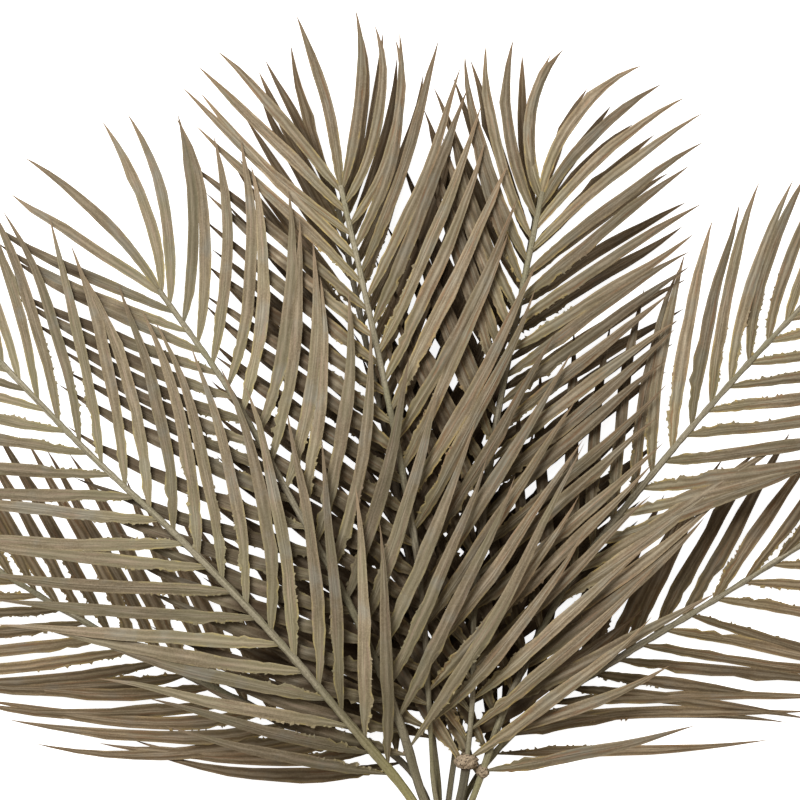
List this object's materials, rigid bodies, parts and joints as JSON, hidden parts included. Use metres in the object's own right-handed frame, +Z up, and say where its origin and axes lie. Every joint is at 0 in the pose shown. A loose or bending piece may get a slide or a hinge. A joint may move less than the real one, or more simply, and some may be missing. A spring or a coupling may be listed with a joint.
{
  "type": "dried areca palm frond bunch",
  "caption": "Bunch of dried feather-shaped palm fronds fanned out from bare stems bound with twine, lying flat as a dried arrangement.",
  "frame": {"origin": "on the surface that the bunch lies on, under the middle of the twine tie", "axes": "+Z up from the surface, +Y from the tie along the fan towards the frond tips, +X to the right seen from above"},
  "size_m": [1.1077, 0.8495, 0.1063],
  "materials": {
    "dried_frond": "dry matt leaf, taupe to olive grey, with fine lengthwise fibres, yellowed ragged edges and rusty tips",
    "twine": "coarse matt plant-fibre twine, wound close"
  },
  "bodies": {
    "root": {"frond_right_low": "dried_frond", "frond_left_low": "dried_frond", "frond_top_right_back": "dried_frond", "frond_top_left_back": "dried_frond", "frond_right_high": "dried_frond", "frond_top_right": "dried_frond", "frond_top_left": "dried_frond", "frond_left_high": "dried_frond", "frond_left_front": "dried_frond", "tie": "twine"}
  },
  "joints": []
}
